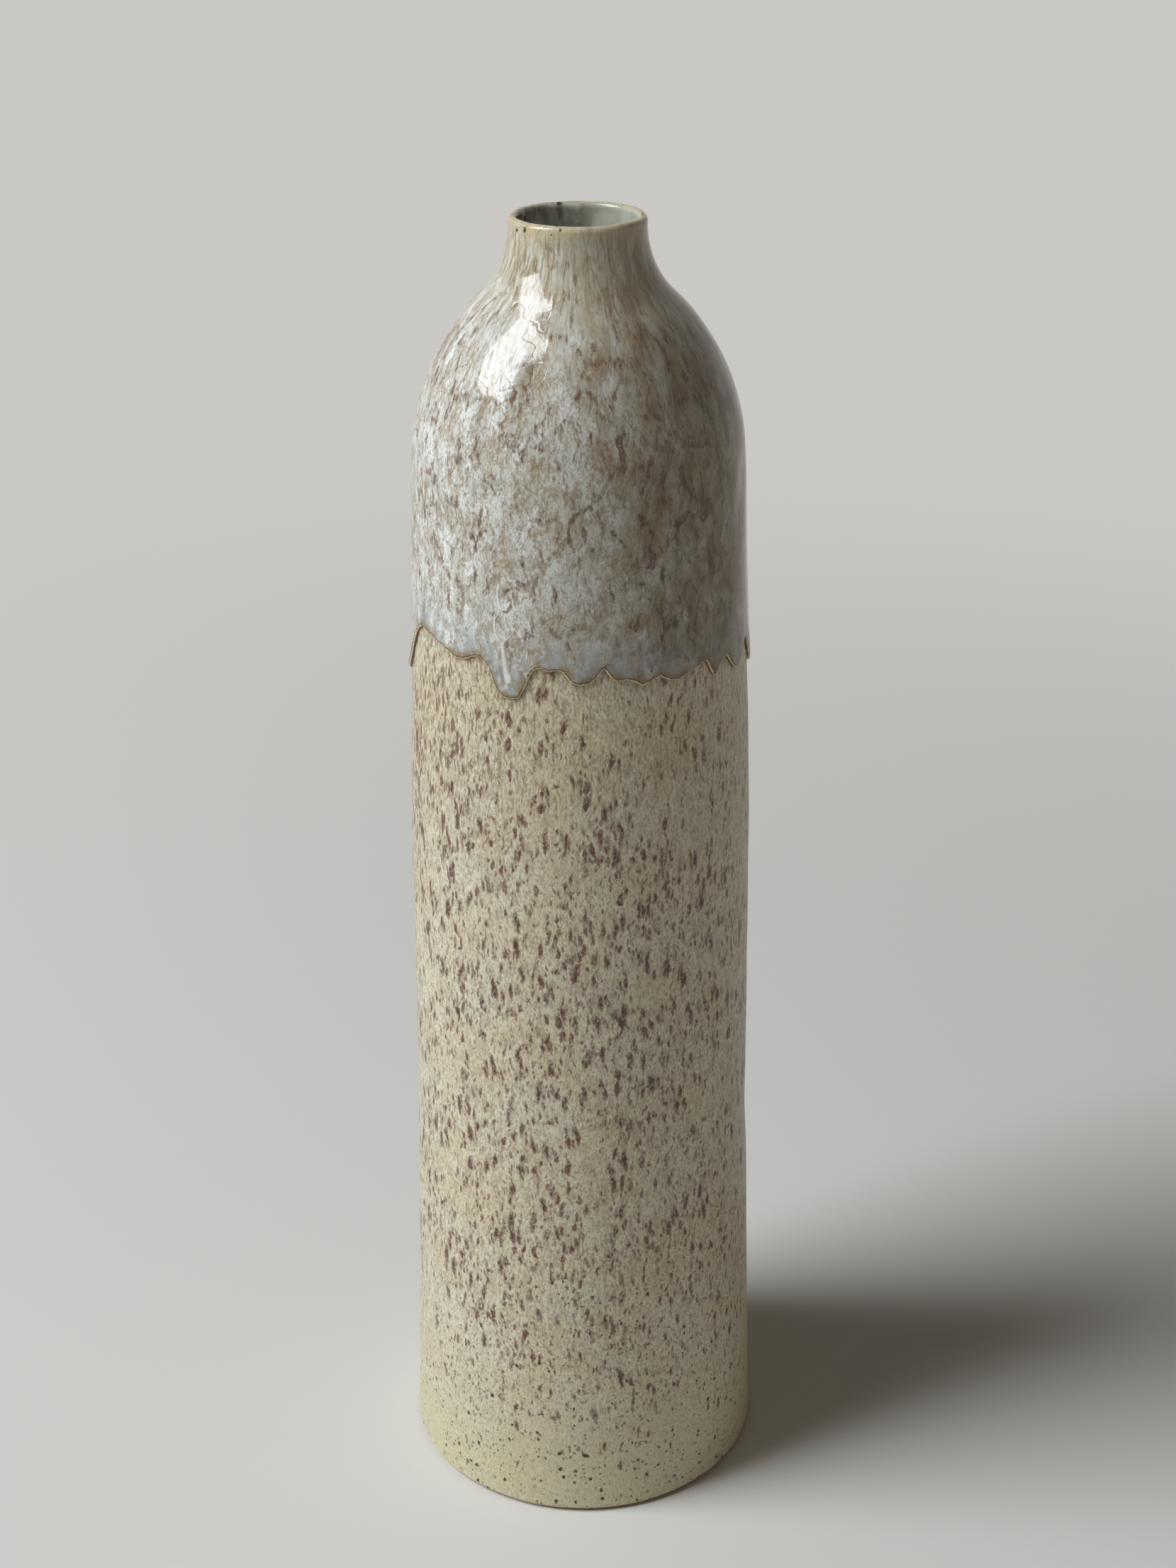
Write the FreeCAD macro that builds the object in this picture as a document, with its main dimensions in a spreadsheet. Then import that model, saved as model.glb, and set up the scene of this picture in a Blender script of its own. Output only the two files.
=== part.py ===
import FreeCAD, Part
import math
import os

import Sketcher

# Bottle vase of thrown stoneware, in millimetres, standing on the plane z = 0 with its axis on Z.
# Three thrown clay sections are luted together, and three coats of fired glaze lie on the clay.
# Every piece is turned from a closed half profile of straight runs with tangent rounds between.

SIZES = {
    "overall_height": 324.0,
    "foot_radius": 45.0,
    "neck_radius": 15.5,
    "lip_thickness": 2.4,
    "foot_wall": 6.0,
    "body_wall": 4.8,
    "shoulder_wall": 4.2,
    "floor_thickness": 8.0,
    "floor_corner_radius": 10.0,
    "foot_ring_width": 7.0,
    "foot_recess": 2.5,
    "foot_bevel": 0.7,
    "cream_coat": 0.6,
    "drip_coat": 0.65,
    "liner_coat": 0.4,
    "lip_coat": 0.4,
    "seam_height": 100.0,
    "seam_vee_width": 2.6,
    "seam_vee_depth": 1.8,
    "drip_line_height": 234.0,
    "longest_drip": 17.0,
    "drip_edge_height": 0.9,
    "tool_overrun": 6.0,
}

# Shares of the foot radius, of the shoulder's height, of the shoulder's breadth and of the coats.
SHARES = {
    "waist_radius_share": 0.932,
    "waist_height_share": 0.379,
    "belly_radius_share": 0.9124,
    "belly_height_share": 0.645,
    "shoulder_radius_share": 0.8075,
    "blend_share": 4.0,
    "shoulder_round_share": 2.42,
    "neck_round_share": 1.02,
    "neck_rise_share": 0.4732,
    "inner_neck_round_share": 0.5,
    "neck_seam_share": 0.686,
    "cream_at_lip_share": 0.5,
    "bare_throat_share": 0.1,
    "drip_edge_heel_share": 0.2,
    "drip_edge_knee_share": 0.75,
    "drip_edge_knee_height_share": 0.35,
}

# The lower edge of the drip glaze, once round the vase, as lobes that meet in sharp crests. A point
# is the azimuth in degrees from the front towards +X, and how far the edge hangs below its highest
# point, as a share of the longest drip. A lobe ends where the next one starts.
DRIP_LOBE_SHARES = (
    ((-65.5, 0.02), (-58.0, 0.05), (-50.5, 0.13), (-42.5, 0.19), (-36.5, 0.11)),
    ((-34.0, 0.09), (-31.5, 0.20), (-28.3, 0.46), (-22.5, 0.58), (-18.3, 0.47), (-15.7, 0.21)),
    ((-12.5, 0.13), (-9.0, 0.16), (-6.0, 0.15), (-2.5, 0.30), (1.0, 0.33), (4.8, 0.26)),
    ((8.0, 0.12), (11.2, 0.28), (15.5, 0.30), (21.0, 0.39), (24.5, 0.35)),
    ((27.0, 0.31), (30.0, 0.385), (34.0, 0.41), (39.0, 0.35)),
    ((46.5, 0.27), (48.0, 0.42), (50.5, 0.52), (53.5, 0.42)),
    ((57.5, 0.34), (60.5, 0.50), (65.0, 0.62), (70.0, 0.50)),
    ((74.5, 0.29), (78.5, 0.50), (85.0, 0.80), (91.0, 0.86), (98.0, 0.60)),
    ((104.0, 0.27), (110.0, 0.37), (116.0, 0.34), (121.5, 0.55), (127.0, 0.71), (133.0, 0.47)),
    ((139.0, 0.17), (145.0, 0.22), (151.0, 0.17), (157.0, 0.38), (162.5, 0.70), (168.0, 0.84),
     (173.0, 0.60)),
    ((179.0, 0.26), (184.0, 0.31), (190.0, 0.24), (196.5, 0.40), (203.0, 0.39)),
    ((209.0, 0.17), (214.0, 0.20), (221.0, 0.32), (227.0, 0.60), (233.0, 0.68), (239.0, 0.42)),
    ((245.0, 0.24), (251.0, 0.40), (259.0, 0.76), (267.0, 0.94), (275.5, 0.90), (283.0, 0.58),
     (289.5, 0.17)),
)

FULL_TURN = 360


# Expressions for the corners of the profiles

FOOT_R = "Sizes.foot_radius"
WAIST_R = "Sizes.foot_radius * Sizes.waist_radius_share"
BELLY_R = "Sizes.foot_radius * Sizes.belly_radius_share"
SHOULDER_R = "Sizes.foot_radius * Sizes.shoulder_radius_share"
LIP_ROUND = "Sizes.lip_thickness / 2"
LIP_Z = f"Sizes.overall_height - {LIP_ROUND}"
GLAZED_NECK_R = "Sizes.neck_radius"
CREAM_NECK_R = "Sizes.neck_radius - Sizes.lip_coat * (1 - Sizes.cream_at_lip_share)"
CLAY_NECK_R = "Sizes.neck_radius - Sizes.lip_coat"
GLAZED_THROAT_R = "Sizes.neck_radius - Sizes.lip_thickness"
CLAY_THROAT_R = f"{GLAZED_THROAT_R} + Sizes.lip_coat"
BREADTH = f"({SHOULDER_R} + Sizes.drip_coat - {GLAZED_NECK_R})"

# The shoulder runs up at 45 degrees, so radius plus height is the same all along its line.
SHOULDER_SUM = f"({LIP_Z} - Sizes.neck_rise_share * {BREADTH} + {GLAZED_NECK_R})"
SHOULDER_Z = f"({SHOULDER_SUM} - {SHOULDER_R} - sqrt(2) * Sizes.drip_coat)"
WAIST_Z = f"{SHOULDER_Z} * Sizes.waist_height_share"
BELLY_Z = f"{SHOULDER_Z} * Sizes.belly_height_share"
BLEND_RADIUS = f"{SHOULDER_Z} * Sizes.blend_share"
TAN_HALF_SHOULDER = "(sqrt(2) - 1)"


class Skin:
    """One turned surface: its corners lie off the cream glaze's face by the distances given."""

    def __init__(self, foot_off, body_off, shoulder_off, neck_r, neck_round_share, blend=None):
        self.foot_r = f"{FOOT_R} + {foot_off}"
        self.waist_r = f"{WAIST_R} + {body_off}"
        self.belly_r = f"{BELLY_R} + {body_off}"
        self.shoulder_r = f"{SHOULDER_R} + {shoulder_off}"
        self.neck_r = neck_r
        self.sum = f"({SHOULDER_SUM} + sqrt(2) * ({shoulder_off} - Sizes.drip_coat))"
        self.shoulder_z = f"{self.sum} - ({self.shoulder_r})"
        self.neck_z = f"{self.sum} - ({neck_r})"
        self.shoulder_round = f"{BREADTH} * Sizes.shoulder_round_share + {shoulder_off}"
        self.neck_round = f"({self.shoulder_r} - ({neck_r})) * Sizes.{neck_round_share}"
        self.neck_end_z = f"({self.neck_z} + {self.neck_round} * {TAN_HALF_SHOULDER})"
        self.blend = blend

    def upward(self, name):
        """The corners from the waist to the neck, as (name, radius, height, round)."""
        return [
            (f"{name}_waist", self.waist_r, WAIST_Z, self.blend),
            (f"{name}_belly", self.belly_r, BELLY_Z, self.blend),
            (f"{name}_shoulder", self.shoulder_r, self.shoulder_z, self.shoulder_round),
            (f"{name}_neck", self.neck_r, self.neck_z, self.neck_round),
        ]

    def downward(self, name):
        """The same corners, taken from the neck down to the waist."""
        return self.upward(name)[::-1]


# The outside is blended smooth at the waist and the belly. The wall inside is left as thrown.
GLAZED = Skin("Sizes.drip_coat", "Sizes.drip_coat", "Sizes.drip_coat", GLAZED_NECK_R,
              "neck_round_share", BLEND_RADIUS)
CREAM = Skin("0", "0", "0", CREAM_NECK_R, "neck_round_share", BLEND_RADIUS)
CLAY = Skin("-Sizes.cream_coat", "-Sizes.cream_coat", "-Sizes.cream_coat", CLAY_NECK_R,
            "neck_round_share", BLEND_RADIUS)
INNER = Skin("-(Sizes.cream_coat + Sizes.foot_wall)",
             "-(Sizes.cream_coat + Sizes.body_wall)",
             "-(Sizes.cream_coat + Sizes.shoulder_wall)",
             CLAY_THROAT_R, "inner_neck_round_share")
LINED = Skin("-(Sizes.cream_coat + Sizes.foot_wall + Sizes.liner_coat)",
             "-(Sizes.cream_coat + Sizes.body_wall + Sizes.liner_coat)",
             "-(Sizes.cream_coat + Sizes.shoulder_wall + Sizes.liner_coat)",
             GLAZED_THROAT_R, "inner_neck_round_share")

# The drip glaze runs over the lip and down the throat, nearly to where the throat widens.
THROAT_COAT_END = f"({INNER.neck_end_z} + ({LIP_Z} - {INNER.neck_end_z}) * Sizes.bare_throat_share)"


# Sketching and turning

def as_number(holder, expression):
    """The value of an expression in millimetres."""
    value = holder.evalExpression(expression)
    return float(getattr(value, "Value", value))


def turned_arc(centre, radius, start, turn):
    """An arc drawn anticlockwise, and the ends of it that a walk round the profile meets."""
    circle = Part.Circle(centre, FreeCAD.Vector(0, 0, 1), radius)
    if turn > 0:
        return Part.ArcOfCircle(circle, start, start + turn), 1, 2
    return Part.ArcOfCircle(circle, start + turn, start), 2, 1


def heading(start, end):
    step = end - start
    return math.atan2(step.y, step.x)


def turn_between(before, after):
    """The signed angle from one heading to the next, within half a turn."""
    return math.remainder(after - before, math.tau)


class Profile:
    """A closed half profile in a body's sketch, every corner bound to the sheet."""

    def __init__(self, sketch, corners, round_ends):
        self.sketch = sketch
        self.corners = corners
        self.round_ends = round_ends
        self.points = [
            FreeCAD.Vector(as_number(sketch, radius), as_number(sketch, height), 0)
            for _, radius, height, _ in corners
        ]
        self.entries = {}
        self.exits = {}
        self.draw_runs()
        self.draw_corners()

    def add(self, *constraint, name=None, expression=None):
        index = self.sketch.addConstraint(Sketcher.Constraint(*constraint))
        if name:
            self.sketch.renameConstraint(index, name)
            self.sketch.setExpression(f"Constraints.{name}", expression)

    def heading_after(self, i):
        return heading(self.points[i], self.points[(i + 1) % len(self.points)])

    def trim(self, i):
        """How far a corner's round reaches along the two runs that meet there."""
        fillet = self.corners[i][3]
        if not fillet:
            return 0.0
        turn = turn_between(self.heading_after(i - 1), self.heading_after(i))
        return as_number(self.sketch, fillet) * math.tan(abs(turn) / 2)

    def draw_runs(self):
        """One straight run, or one half round at a rim, between each corner and the next."""
        count = len(self.points)
        self.runs = []
        for i, point in enumerate(self.points):
            after = self.points[(i + 1) % count]
            angle = self.heading_after(i)
            step = FreeCAD.Vector(math.cos(angle), math.sin(angle), 0)
            if self.corners[i][0] in self.round_ends:
                centre = (point + after) / 2
                radius = (after - point).Length / 2
                arc, first, last = turned_arc(centre, radius, heading(centre, point),
                                              self.round_ends[self.corners[i][0]] * math.pi)
            else:
                start = point + step * self.trim(i)
                end = after - step * self.trim((i + 1) % count)
                arc, first, last = Part.LineSegment(start, end), 1, 2
            self.runs.append((self.sketch.addGeometry(arc, False), first, last))

    def draw_corners(self):
        for i, (name, radius, height, fillet) in enumerate(self.corners):
            before = self.runs[i - 1]
            after = self.runs[i]
            if fillet:
                self.round_corner(i, before, after)
                continue
            self.place((after[0], after[1]), name, radius, height)
            smooth = name in self.round_ends
            kind = "Tangent" if smooth else "Coincident"
            self.add(kind, before[0], before[2], after[0], after[1])

    def round_corner(self, i, before, after):
        name, radius, height, fillet = self.corners[i]
        start_heading = self.heading_after(i - 1)
        turn = turn_between(start_heading, self.heading_after(i))
        length = as_number(self.sketch, fillet)
        side = math.copysign(1, turn)
        along = FreeCAD.Vector(math.cos(start_heading), math.sin(start_heading), 0)
        inward = FreeCAD.Vector(-along.y, along.x, 0) * side
        entry = self.points[i] - along * self.trim(i)
        centre = entry + inward * length
        arc, first, last = turned_arc(centre, length, heading(centre, entry), turn)
        arc_id = self.sketch.addGeometry(arc, False)
        mark = self.sketch.addGeometry(Part.Point(self.points[i]), True)
        self.add("Tangent", before[0], before[2], arc_id, first)
        self.add("Tangent", arc_id, last, after[0], after[1])
        self.add("PointOnObject", mark, 1, before[0])
        self.add("PointOnObject", mark, 1, after[0])
        self.place((mark, 1), name, radius, height)
        self.add("Radius", arc_id, length, name=f"{name}_round", expression=fillet)

    def place(self, end, name, radius, height):
        """Binds a point's radius and height, or lays it on the axis or the ground."""
        point = self.points[[corner[0] for corner in self.corners].index(name)]
        if radius == "0":
            self.add("PointOnObject", *end, -2)
        else:
            self.add("DistanceX", -1, 1, *end, point.x, name=f"{name}_r", expression=radius)
        if height == "0":
            self.add("PointOnObject", *end, -1)
        else:
            self.add("DistanceY", -1, 1, *end, point.y, name=f"{name}_z", expression=height)


def turned_body(doc, name, corners, round_ends=None):
    """A body turned about Z from a profile of (name, radius, height, round) corners."""
    body = doc.addObject("PartDesign::Body", name)
    sketch = body.newObject("Sketcher::SketchObject", f"{name}_profile")
    plane = next(item for item in body.Origin.OriginFeatures if item.Role == "XZ_Plane")
    sketch.AttachmentSupport = (plane, [""])
    sketch.MapMode = "FlatFace"
    Profile(sketch, corners, round_ends or {})
    turn = body.newObject("PartDesign::Revolution", f"{name}_turn")
    turn.Profile = (sketch, [""])
    turn.ReferenceAxis = (sketch, ["V_Axis"])
    turn.Angle = FULL_TURN
    return body


# The clay

def clay_blank(doc):
    """The whole clay wall with its trimmed foot, before it is parted into thrown sections."""
    ring_inner = f"{CLAY.foot_r} - Sizes.foot_ring_width"
    corners = [
        ("under_centre", "0", "Sizes.foot_recess", None),
        ("under_edge", f"{ring_inner} - Sizes.foot_recess", "Sizes.foot_recess", None),
        ("ring_inner", ring_inner, "0", None),
        ("ring_outer", f"{CLAY.foot_r} - Sizes.foot_bevel", "0", None),
        ("bevel_top", CLAY.foot_r, "Sizes.foot_bevel", None),
        *CLAY.upward("outer"),
        ("lip_outer", CLAY_NECK_R, LIP_Z, None),
        ("lip_inner", CLAY_THROAT_R, LIP_Z, None),
        *INNER.downward("inner"),
        ("floor_corner", INNER.foot_r, "Sizes.floor_thickness", "Sizes.floor_corner_radius"),
        ("floor_centre", "0", "Sizes.floor_thickness", None),
    ]
    return turned_body(doc, "clay_blank", corners, {"lip_outer": 1})


def seam_tool(doc):
    """Everything below the body seam, whose rim has a V groove in the middle of the wall."""
    middle = (f"({CLAY.foot_r} + ({CLAY.waist_r} - ({CLAY.foot_r})) * Sizes.seam_height"
              f" / ({WAIST_Z}) - Sizes.body_wall / 2)")
    reach = f"{FOOT_R} + Sizes.tool_overrun"
    corners = [
        ("below", "0", "-Sizes.tool_overrun", None),
        ("below_rim", reach, "-Sizes.tool_overrun", None),
        ("rim", reach, "Sizes.seam_height", None),
        ("vee_outer", f"{middle} + Sizes.seam_vee_width / 2", "Sizes.seam_height", None),
        ("vee_bottom", middle, "Sizes.seam_height - Sizes.seam_vee_depth", None),
        ("vee_inner", f"{middle} - Sizes.seam_vee_width / 2", "Sizes.seam_height", None),
        ("centre", "0", "Sizes.seam_height", None),
    ]
    return turned_body(doc, "seam_tool", corners)


def neck_tool(doc):
    """Everything above a cone that crosses the shoulder wall squarely, where the neck is luted."""
    seam_r = (f"({CLAY.shoulder_r} + ({CLAY.neck_r} - ({CLAY.shoulder_r}))"
              " * Sizes.neck_seam_share)")
    apex = f"({CLAY.sum} - 2 * {seam_r})"
    reach = f"({FOOT_R} + Sizes.tool_overrun)"
    corners = [
        ("apex", "0", apex, None),
        ("cone_rim", reach, f"{apex} + {reach}", None),
        ("top_rim", reach, f"{apex} + {reach} + Sizes.tool_overrun", None),
        ("top", "0", f"{apex} + {reach} + Sizes.tool_overrun", None),
    ]
    return turned_body(doc, "neck_tool", corners)


def joined(doc, kind, name, base, tool):
    """A boolean of two objects."""
    result = doc.addObject(kind, name)
    result.Base = base
    result.Tool = tool
    return result


def clay_sections(doc):
    blank = clay_blank(doc)
    seam = seam_tool(doc)
    neck = neck_tool(doc)
    above_seam = joined(doc, "Part::Cut", "above_seam", blank, seam)
    return [
        joined(doc, "Part::Common", "base_section", blank, seam),
        joined(doc, "Part::Cut", "body_section", above_seam, neck),
        joined(doc, "Part::Common", "neck_section", blank, neck),
    ]


# The glaze coats

def cream_glaze(doc):
    """The speckled coat on the outside, from the foot's bevel to just under the lip."""
    corners = [
        ("bottom_inner", CLAY.foot_r, "Sizes.foot_bevel", None),
        ("bottom_outer", CREAM.foot_r, "Sizes.foot_bevel", None),
        *CREAM.upward("face"),
        ("top_outer", CREAM_NECK_R, LIP_Z, None),
        ("top_inner", CLAY_NECK_R, LIP_Z, None),
        *CLAY.downward("back"),
    ]
    return turned_body(doc, "cream_glaze", corners)


def liner_glaze(doc):
    """The coat poured round the inside: the floor, the wall and the lower throat."""
    corners = [
        ("floor_back", "0", "Sizes.floor_thickness", None),
        ("corner_back", INNER.foot_r, "Sizes.floor_thickness", "Sizes.floor_corner_radius"),
        *INNER.upward("back"),
        ("throat_back", CLAY_THROAT_R, THROAT_COAT_END, None),
        ("throat_face", GLAZED_THROAT_R, THROAT_COAT_END, None),
        *LINED.downward("face"),
        ("corner_face", LINED.foot_r, "Sizes.floor_thickness + Sizes.liner_coat",
         "Sizes.floor_corner_radius - Sizes.liner_coat"),
        ("floor_face", "0", "Sizes.floor_thickness + Sizes.liner_coat", None),
    ]
    return turned_body(doc, "liner_glaze", corners)


def drip_coat(doc):
    """The top coat before its edge is shaped: over the cream coat, the lip and the throat."""
    corners = [
        ("bottom_inner", CREAM.foot_r, "Sizes.foot_bevel", None),
        ("bottom_outer", GLAZED.foot_r, "Sizes.foot_bevel", None),
        *GLAZED.upward("face"),
        ("lip_outer", GLAZED_NECK_R, LIP_Z, None),
        ("lip_inner", GLAZED_THROAT_R, LIP_Z, None),
        ("throat_face", GLAZED_THROAT_R, THROAT_COAT_END, None),
        ("throat_back", CLAY_THROAT_R, THROAT_COAT_END, None),
        ("clay_lip_inner", CLAY_THROAT_R, LIP_Z, None),
        ("clay_lip_outer", CLAY_NECK_R, LIP_Z, None),
        ("cream_top", CREAM_NECK_R, LIP_Z, None),
        *CREAM.downward("back"),
    ]
    return turned_body(doc, "drip_coat", corners, {"lip_outer": 1, "clay_lip_inner": -1})


def drip_lobes():
    """Each lobe with the next lobe's first point as its last, on a steadily growing azimuth."""
    for lobe, after in zip(DRIP_LOBE_SHARES, DRIP_LOBE_SHARES[1:] + DRIP_LOBE_SHARES[:1]):
        azimuth, share = after[0]
        if azimuth < lobe[0][0]:
            azimuth += FULL_TURN
        yield [*lobe, (azimuth, share)]


def around(radius, azimuth, height):
    """The point at a radius and a height, at an azimuth in degrees from the front."""
    angle = math.radians(azimuth)
    return FreeCAD.Vector(radius * math.sin(angle), -radius * math.cos(angle), height)


def drip_wave(sheet, outset, rise):
    """A closed wave that follows the drip line, moved outwards and upwards by lengths given."""
    belly_r = as_number(sheet, BELLY_R)
    belly_z = as_number(sheet, BELLY_Z)
    taper = (as_number(sheet, SHOULDER_R) - belly_r) / (as_number(sheet, SHOULDER_Z) - belly_z)
    edges = []
    for lobe in drip_lobes():
        points = []
        for azimuth, share in lobe:
            height = sheet.drip_line_height - share * sheet.longest_drip + rise
            points.append(around(belly_r + (height - belly_z) * taper + outset, azimuth, height))
        curve = Part.BSplineCurve()
        curve.interpolate(Points=points, Parameters=[azimuth for azimuth, _ in lobe])
        edges.append(curve.toShape())
    return Part.Wire(edges)


def level_ring(radius, height):
    """A level circle of as many arcs as the waves have lobes."""
    edges = []
    for lobe in drip_lobes():
        first = lobe[0][0]
        last = lobe[-1][0]
        ends = [around(radius, azimuth, height) for azimuth in (first, (first + last) / 2, last)]
        edges.append(Part.Arc(*ends).toShape())
    return Part.Wire(edges)


def drip_edge_tool(doc, sheet):
    """Everything below the drip line, its top shaped to leave the coat a rounded lower edge."""
    coat = sheet.drip_coat
    overrun = sheet.tool_overrun
    edge = sheet.drip_edge_height
    knee_out = coat * sheet.drip_edge_knee_share
    knee_up = edge * sheet.drip_edge_knee_height_share
    wires = [
        level_ring(sheet.foot_radius / 2, sheet.drip_line_height),
        drip_wave(sheet, -overrun, 0.0),
        drip_wave(sheet, coat * sheet.drip_edge_heel_share, 0.0),
        drip_wave(sheet, knee_out, knee_up),
        drip_wave(sheet, 2 * coat - knee_out, 2 * edge - knee_up),
        drip_wave(sheet, coat + overrun, edge + overrun),
        level_ring(sheet.foot_radius + coat + overrun, -overrun),
    ]
    tool = doc.addObject("Part::Feature", "drip_edge_tool")
    tool.Shape = Part.makeLoft(wires, True, True)
    return tool


def drip_glaze(doc, sheet):
    """The top coat with its scalloped edge of runs and drips."""
    return joined(doc, "Part::Cut", "drip_glaze", drip_coat(doc), drip_edge_tool(doc, sheet))


# The document

def size_sheet(doc):
    sheet = doc.addObject("Spreadsheet::Sheet", "Sizes")
    for row, (name, number) in enumerate({**SIZES, **SHARES}.items(), start=1):
        sheet.set(f"A{row}", str(number))
        sheet.setAlias(f"A{row}", name)
    doc.recompute()
    return sheet


def check(doc, sub_parts):
    """Stops if anything in the document failed, or a piece isn't one sound solid."""
    for item in doc.Objects:
        faults = {"Invalid", "Error"} & set(item.State)
        if faults:
            raise RuntimeError(f"{item.Name}: {', '.join(sorted(faults))}")
    for piece in sub_parts:
        shape = piece.Shape
        if shape.isNull() or not shape.isValid() or len(shape.Solids) != 1:
            raise RuntimeError(f"{piece.Label} isn't one sound solid")


def main():
    doc = FreeCAD.newDocument("bottle_vase")
    sheet = size_sheet(doc)
    sub_parts = [
        *clay_sections(doc),
        cream_glaze(doc),
        drip_glaze(doc, sheet),
        liner_glaze(doc),
    ]
    for piece in sub_parts:
        piece.Label = piece.Name
        piece.Placement = FreeCAD.Placement()
    doc.recompute()
    check(doc, sub_parts)
    os.makedirs("parts", exist_ok=True)
    for piece in sub_parts:
        piece.Shape.exportStep(f"parts/{piece.Label}.step")
        box = piece.Shape.optimalBoundingBox(False, False)
        print(f"{piece.Label}: {piece.Shape.Volume:.0f} mm3, "
              f"z {box.ZMin:.2f} to {box.ZMax:.2f}, radius {box.XMax:.2f}")


main()
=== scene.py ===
import math

import bpy
import numpy as np
from mathutils import Matrix


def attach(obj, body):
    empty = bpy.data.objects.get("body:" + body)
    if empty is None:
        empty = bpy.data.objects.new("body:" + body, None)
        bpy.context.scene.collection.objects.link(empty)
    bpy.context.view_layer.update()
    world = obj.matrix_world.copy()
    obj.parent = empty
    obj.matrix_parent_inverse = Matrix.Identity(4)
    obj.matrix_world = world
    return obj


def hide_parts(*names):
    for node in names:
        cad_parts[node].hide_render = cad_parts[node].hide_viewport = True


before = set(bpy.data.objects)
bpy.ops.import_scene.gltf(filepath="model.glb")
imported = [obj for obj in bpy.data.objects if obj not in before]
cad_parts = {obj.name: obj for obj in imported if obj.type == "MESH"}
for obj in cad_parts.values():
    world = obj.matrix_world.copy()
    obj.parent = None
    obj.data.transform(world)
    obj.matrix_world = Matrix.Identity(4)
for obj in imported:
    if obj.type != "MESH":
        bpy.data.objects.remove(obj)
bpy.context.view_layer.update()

# The photograph's camera, in metres and pixels
IMAGE_WIDTH = 1659
FOCAL_PIXELS = 3400
CAMERA_PLACE = (0.0018, -0.5305, 0.4321)
CAMERA_DOWN = 24.861
CAMERA_ROLL = -0.234

# Sizes of the vase in millimetres, as the solids have them
HEIGHT = 324.0
FOOT_R = 45.0
NECK_R = 15.5
LIP = 2.4
CREAM_COAT = 0.6
DRIP_COAT = 0.65
LIP_COAT = 0.4
FOOT_BEVEL = 0.7
DRIP_LINE = 234.0
LONGEST_DRIP = 17.0
LIP_Z = HEIGHT - LIP / 2
THROAT_COAT_END = 311.87
SHOULDER_R = FOOT_R * 0.8075
BREADTH = SHOULDER_R + DRIP_COAT - NECK_R

# The shoulder is a cone at 45 degrees, on which radius and height have one sum
SHOULDER_SUM = LIP_Z - 0.4732 * BREADTH + NECK_R
SHOULDER_Z = SHOULDER_SUM - SHOULDER_R - math.sqrt(2) * DRIP_COAT
WAIST = (FOOT_R * 0.932, SHOULDER_Z * 0.379)
BELLY = (FOOT_R * 0.9124, SHOULDER_Z * 0.645)
BLEND = SHOULDER_Z * 4.0
SHOULDER_ROUND_SHARE = 2.42
NECK_ROUND_SHARE = 1.02
ARC_STEP = 0.25

# Empty rim of each layout square
UV_MARGIN = 0.002

# Height at which the rings that follow the drip line end, and the mark of places above it
JOIN_Z = 252.0
FAR_ABOVE = 99.0

# Radius at which the drip line was measured, for lengths round the wall
WALL_R = 41.8
MM_PER_DEGREE = WALL_R * math.pi / 180

# How much a pattern on the glaze still follows the radius where the wall slopes
SLOPE_SHARE = 0.25

# The drip line in lobes: azimuth from the front towards +X, and how far it hangs below its highest
# point, as a share of the longest drip
LOBES = (
    ((-65.5, 0.02), (-58.0, 0.05), (-50.5, 0.13), (-42.5, 0.19), (-36.5, 0.11)),
    ((-34.0, 0.09), (-31.5, 0.20), (-28.3, 0.46), (-22.5, 0.58), (-18.3, 0.47), (-15.7, 0.21)),
    ((-12.5, 0.13), (-9.0, 0.16), (-6.0, 0.15), (-2.5, 0.30), (1.0, 0.33), (4.8, 0.26)),
    ((8.0, 0.12), (11.2, 0.28), (15.5, 0.30), (21.0, 0.39), (24.5, 0.35)),
    ((27.0, 0.31), (30.0, 0.385), (34.0, 0.41), (39.0, 0.35)),
    ((46.5, 0.27), (48.0, 0.42), (50.5, 0.52), (53.5, 0.42)),
    ((57.5, 0.34), (60.5, 0.50), (65.0, 0.62), (70.0, 0.50)),
    ((74.5, 0.29), (78.5, 0.50), (85.0, 0.80), (91.0, 0.86), (98.0, 0.60)),
    ((104.0, 0.27), (110.0, 0.37), (116.0, 0.34), (121.5, 0.55), (127.0, 0.71), (133.0, 0.47)),
    ((139.0, 0.17), (145.0, 0.22), (151.0, 0.17), (157.0, 0.38), (162.5, 0.70), (168.0, 0.84),
     (173.0, 0.60)),
    ((179.0, 0.26), (184.0, 0.31), (190.0, 0.24), (196.5, 0.40), (203.0, 0.39)),
    ((209.0, 0.17), (214.0, 0.20), (221.0, 0.32), (227.0, 0.60), (233.0, 0.68), (239.0, 0.42)),
    ((245.0, 0.24), (251.0, 0.40), (259.0, 0.76), (267.0, 0.94), (275.5, 0.90), (283.0, 0.58),
     (289.5, 0.17)),
)

LONG_DRIP_START = LOBES[1][0][0]

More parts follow.
